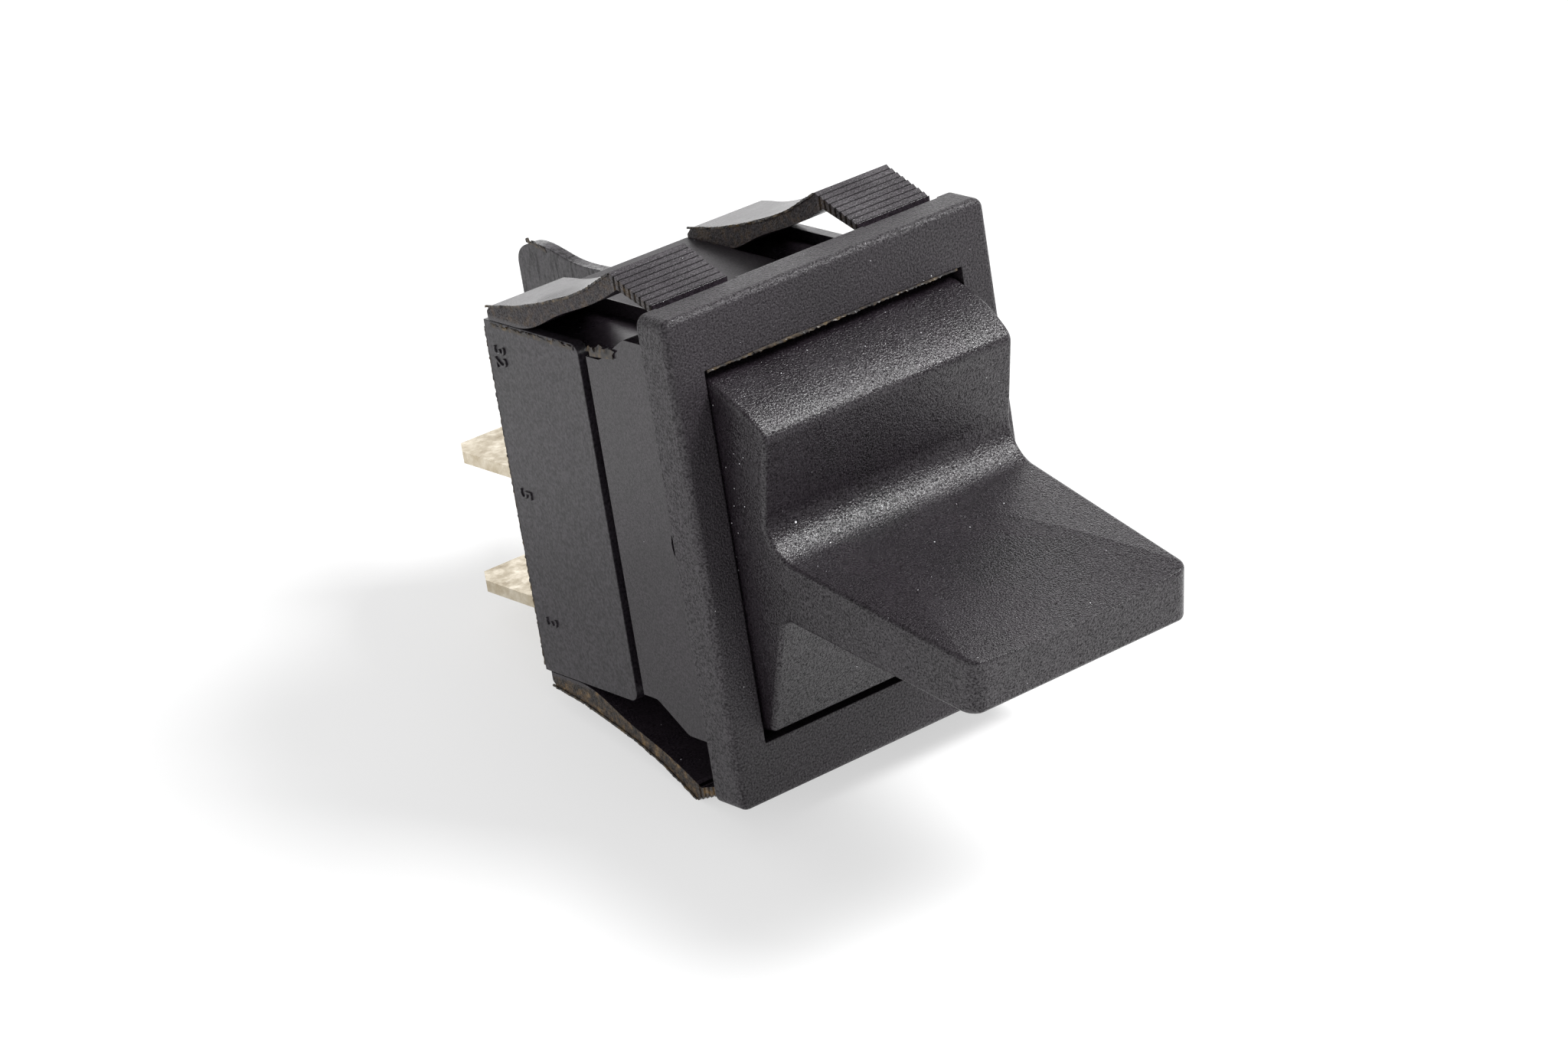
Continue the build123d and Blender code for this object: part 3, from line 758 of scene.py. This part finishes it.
class PULSESWITCH_OT_springs(bpy.types.Operator):
    """Puts copies in place of the return spring and the plunger springs, and hides the originals"""

    bl_idname = "pulse_switch.springs"
    bl_label = "Springs"

    def execute(self, context):
        low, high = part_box("return_spring")
        axis = (low + high) / 2
        boss_mouth = (axis.x, BASE_LOW.y, axis.z)
        post_end = (axis.x, low.y + SPRING_POST_LENGTH, axis.z)
        self.give_way("return_spring", "return_coil", ("housing", "rocker"), boss_mouth, post_end)
        for side in ("left", "right"):
            low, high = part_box(f"{side}_plunger_spring")
            outer_radius = (high.x - low.x) / 2
            half_length = (high.y - low.y) / 2 - outer_radius * math.sin(PLUNGER_TILT)
            half = Vector((0.0, half_length, half_length * math.tan(PLUNGER_TILT)))
            middle = (low + high) / 2
            self.give_way(
                f"{side}_plunger_spring",
                f"{side}_plunger_coil",
                ("rocker", f"{side}_plunger"),
                middle - half,
                middle + half,
            )
        return {"FINISHED"}

    def give_way(self, node, name, bodies, start, end):
        """Puts a copy in a spring's place and hides the spring."""
        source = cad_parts[node]
        piece = bpy.data.objects.new(name, source.data.copy())
        bpy.context.scene.collection.objects.link(piece)
        piece.data.transform(source.matrix_world)
        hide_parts(node)
        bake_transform(piece)


class PULSESWITCH_OT_numbers(bpy.types.Operator):
    """Moulds the terminal numbers on the left cheek"""

    bl_idname = "pulse_switch.numbers"
    bl_label = "Terminal numbers"

    def execute(self, context):
        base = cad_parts["terminal_base"].data.materials[0]
        for name, text, rear, top, size in (
            ("upper_number", "32", 18.3, 10.4, 1.6),
            ("middle_number", "5", 18.2, 0.8, 1.7),
            ("lower_number", "3", 17.9, -7.9, 1.7),
        ):
            tie(raised_number(text, rear, top, size), name, "housing", base)
        return {"FINISHED"}


class PULSESWITCH_OT_flash(bpy.types.Operator):
    """Adds the torn flash along the window, the cheeks, the wings and the barrier"""

    bl_idname = "pulse_switch.flash"
    bl_label = "Moulding flash"

    def execute(self, context):
        torn = torn_nylon("Torn nylon flash", context.scene.pulse_switch_colours.flash)
        face = HOUSING_LOW.y / MM
        top = WINDOW_HALF_HEIGHT
        cheek_rear = (NEAR_SIDE, CHEEK_REAR)
        for name, start, end, out, reach, thickness, seed in (
            ("window_top_web", (-9.9, face, top), (9.7, face, top), (0, -0.3, -1), 0.14, 0.08, 3),
            ("window_tuft", (-6.4, face, top), (-2.2, face, top), (0, -1, -0.5), 0.2, 0.08, 8),
            ("cheek_rear_web", (*cheek_rear, -11.6), (*cheek_rear, 11.4), (0, 1, 0), 0.1, 0.05, 11),
            ("cheek_top_web", (-10.92, 9.6, 11.5), (-10.92, 18.2, 11.5), (0, 0, 1), 0.28, 0.06, 14),
            ("wall_top_web", (-10.84, 8.0, 11.4), (-10.84, 5.6, 11.6), (0, 0, 1), 0.6, 0.06, 17),
            ("wall_seam_web", (-10.95, 0.9, 10.6), (-10.95, 0.9, -11.0), (0, 1, 0), 0.13, 0.05, 23),
            ("barrier_burr", (-0.4, 26.6, 11.6), (-0.4, 28.7, 12.0), (0, 0.25, 1), 0.3, 0.07, 20),
        ):
            web = ragged_strip(start, end, out, reach, thickness, seed)
            tie(web, name, "housing", torn)
        for name, side, level, seed in (
            ("near_upper_wing_web", NEAR_SIDE, 1, 30),
            ("far_upper_wing_web", FAR_WING_SIDE, 1, 40),
            ("near_lower_wing_web", NEAR_SIDE, -1, 50),
        ):
            tie(self.wing_web(side, level, seed), name, "housing", torn)
        return {"FINISHED"}

    def wing_web(self, side, level, seed):
        """A torn rim along the outer edge of one wing's side: level is 1 above and -1 below."""
        strips = []
        corners = [(side, depth, level * height) for depth, height in WING_EDGE]
        for i, (start, end) in enumerate(zip(corners, corners[1:])):
            strip = ragged_strip(start, end, (-1, 0, 0), reach=0.11, thickness=0.14, seed=seed + i)
            strips.append(strip)
        for strip in strips:
            strip.select_set(True)
        bpy.context.view_layer.objects.active = strips[0]
        bpy.ops.object.join()
        return strips[0]


def soft_lamp(name, direction, distance, size, radiance):
    """A soft light, width by height, that looks at the switch from that direction."""
    lamp = bpy.data.lights.new(name, "AREA")
    lamp.shape = "RECTANGLE"
    lamp.size, lamp.size_y = size
    lamp.energy = radiance * math.pi * size[0] * size[1]
    holder = bpy.data.objects.new(name, lamp)
    bpy.context.scene.collection.objects.link(holder)
    towards = Vector(direction).normalized()
    turn = towards.to_track_quat("Z", "Y").to_matrix().to_4x4()
    holder.matrix_world = Matrix.Translation(towards * distance) @ turn


def floor_paper():
    """White background paper: it keeps the soft shadow, and glows so that it stays near white."""
    material, tree, _ = new_material("White background paper")
    rays = add_node(tree, "ShaderNodeLightPath")
    glowing = add_node(
        tree,
        "ShaderNodeMapRange",
        {"Value": rays.outputs["Is Camera Ray"], "To Min": 0.4, "To Max": 0.57},
    )
    paper = add_node(tree, "ShaderNodeBsdfDiffuse", {"Color": linear("#F4F4F4")})
    glow = add_node(tree, "ShaderNodeEmission", {"Color": linear("#FFFFFF"), "Strength": 1.0})
    mix = add_node(tree, "ShaderNodeMixShader", {0: glowing, 1: paper, 2: glow})
    add_node(tree, "ShaderNodeOutputMaterial", {"Surface": mix})
    return material


def white_surroundings(ambient, mirrored):
    """White for the camera, a greyer room for reflections, and a low fill for everything else."""
    world = bpy.data.worlds.new("White surroundings")
    bpy.context.scene.world = world
    world.use_nodes = True
    tree = world.node_tree
    tree.nodes.clear()
    rays = add_node(tree, "ShaderNodeLightPath")
    room = add_node(
        tree,
        "ShaderNodeMapRange",
        {"Value": rays.outputs["Is Glossy Ray"], "To Min": ambient, "To Max": mirrored},
    )
    strength = add_node(
        tree,
        "ShaderNodeMath",
        {0: room, 1: rays.outputs["Is Camera Ray"]},
        operation="MAXIMUM",
    )
    background = add_node(
        tree,
        "ShaderNodeBackground",
        {"Color": linear("#FFFFFF"), "Strength": strength},
    )
    add_node(tree, "ShaderNodeOutputWorld", {"Surface": background})


class PULSESWITCH_OT_stage(bpy.types.Operator):
    """Lays the white floor under the resting switch and sets lamps and camera"""

    bl_idname = "pulse_switch.stage"
    bl_label = "Stage"

    def execute(self, context):
        settings = context.scene.pulse_switch_studio
        normal, drop = resting_tilt(settings)
        bpy.ops.object.select_all(action="DESELECT")
        bpy.ops.mesh.primitive_plane_add(size=FLOOR_WIDTH)
        floor = context.object
        floor.name = "background_paper"
        turn = normal.to_track_quat("Z", "Y").to_matrix().to_4x4()
        floor.data.transform(Matrix.Translation(-normal * drop) @ turn)
        floor.data.materials.append(floor_paper())
        soft_lamp(
            "key_softbox",
            direction=(0.55, -0.47, 0.69),
            distance=0.6,
            size=(0.22, 0.21),
            radiance=31.0,
        )
        soft_lamp(
            "rear_backdrop",
            direction=(0.54, 0.8, 0.2),
            distance=0.8,
            size=(1.0, 0.5),
            radiance=1.75,
        )
        soft_lamp(
            "left_fill",
            direction=(-1.0, -0.1, 0.2),
            distance=0.6,
            size=(0.5, 0.4),
            radiance=1.6,
        )
        white_surroundings(ambient=0.6, mirrored=0.45)
        self.place_camera(context, settings)
        context.scene.view_settings.view_transform = "Standard"
        return {"FINISHED"}

    def place_camera(self, context, settings):
        """Camera on its line of sight, with the roll that the leaning switch shows."""
        camera = bpy.data.objects.new("camera", bpy.data.cameras.new("camera"))
        context.scene.collection.objects.link(camera)
        camera.data.lens = settings.lens
        camera.data.sensor_width = SENSOR_WIDTH_MM
        camera.data.clip_start = 10.0 * MM
        azimuth = settings.view_azimuth
        elevation = settings.view_elevation
        ahead = Vector(
            (
                math.sin(azimuth) * math.cos(elevation),
                math.cos(azimuth) * math.cos(elevation),
                -math.sin(elevation),
            )
        )
        right = Vector((math.cos(azimuth), -math.sin(azimuth), 0.0))
        up = right.cross(ahead)
        spin = Matrix.Rotation(settings.view_roll, 3, ahead)
        turn = Matrix((spin @ right, spin @ up, -ahead)).transposed().to_4x4()
        place = Vector(settings.aim) - ahead * settings.distance
        camera.matrix_world = Matrix.Translation(place) @ turn
        context.scene.camera = camera


class PULSESWITCH_PT_sidebar(bpy.types.Panel):
    """Lists the steps that dress the switch"""

    bl_label = "Pulse Switch"
    bl_idname = "PULSESWITCH_PT_sidebar"
    bl_space_type = "VIEW_3D"
    bl_region_type = "UI"
    bl_category = "Pulse Switch"

    def draw(self, context):
        for step in STEPS:
            self.layout.operator(step.bl_idname)
        for group in (context.scene.pulse_switch_colours, context.scene.pulse_switch_studio):
            for name in group.__annotations__:
                self.layout.prop(group, name)


STEPS = (
    PULSESWITCH_OT_stage,
    PULSESWITCH_OT_finishes,
    PULSESWITCH_OT_springs,
    PULSESWITCH_OT_numbers,
    PULSESWITCH_OT_flash,
)
CLASSES = (PulseSwitchColours, PulseSwitchStudio) + STEPS + (PULSESWITCH_PT_sidebar,)


def register():
    """Adds the classes, and the scene's settings that they read."""
    for cls in CLASSES:
        bpy.utils.register_class(cls)
    bpy.types.Scene.pulse_switch_colours = PointerProperty(type=PulseSwitchColours)
    bpy.types.Scene.pulse_switch_studio = PointerProperty(type=PulseSwitchStudio)


def unregister():
    """Takes the settings and the classes away again."""
    del bpy.types.Scene.pulse_switch_studio
    del bpy.types.Scene.pulse_switch_colours
    for cls in reversed(CLASSES):
        bpy.utils.unregister_class(cls)


def main():
    """Runs every step in order."""
    register()
    bpy.ops.pulse_switch.stage()
    bpy.ops.pulse_switch.finishes()
    bpy.ops.pulse_switch.springs()
    bpy.ops.pulse_switch.numbers()
    bpy.ops.pulse_switch.flash()


if __name__ == "__main__":
    main()
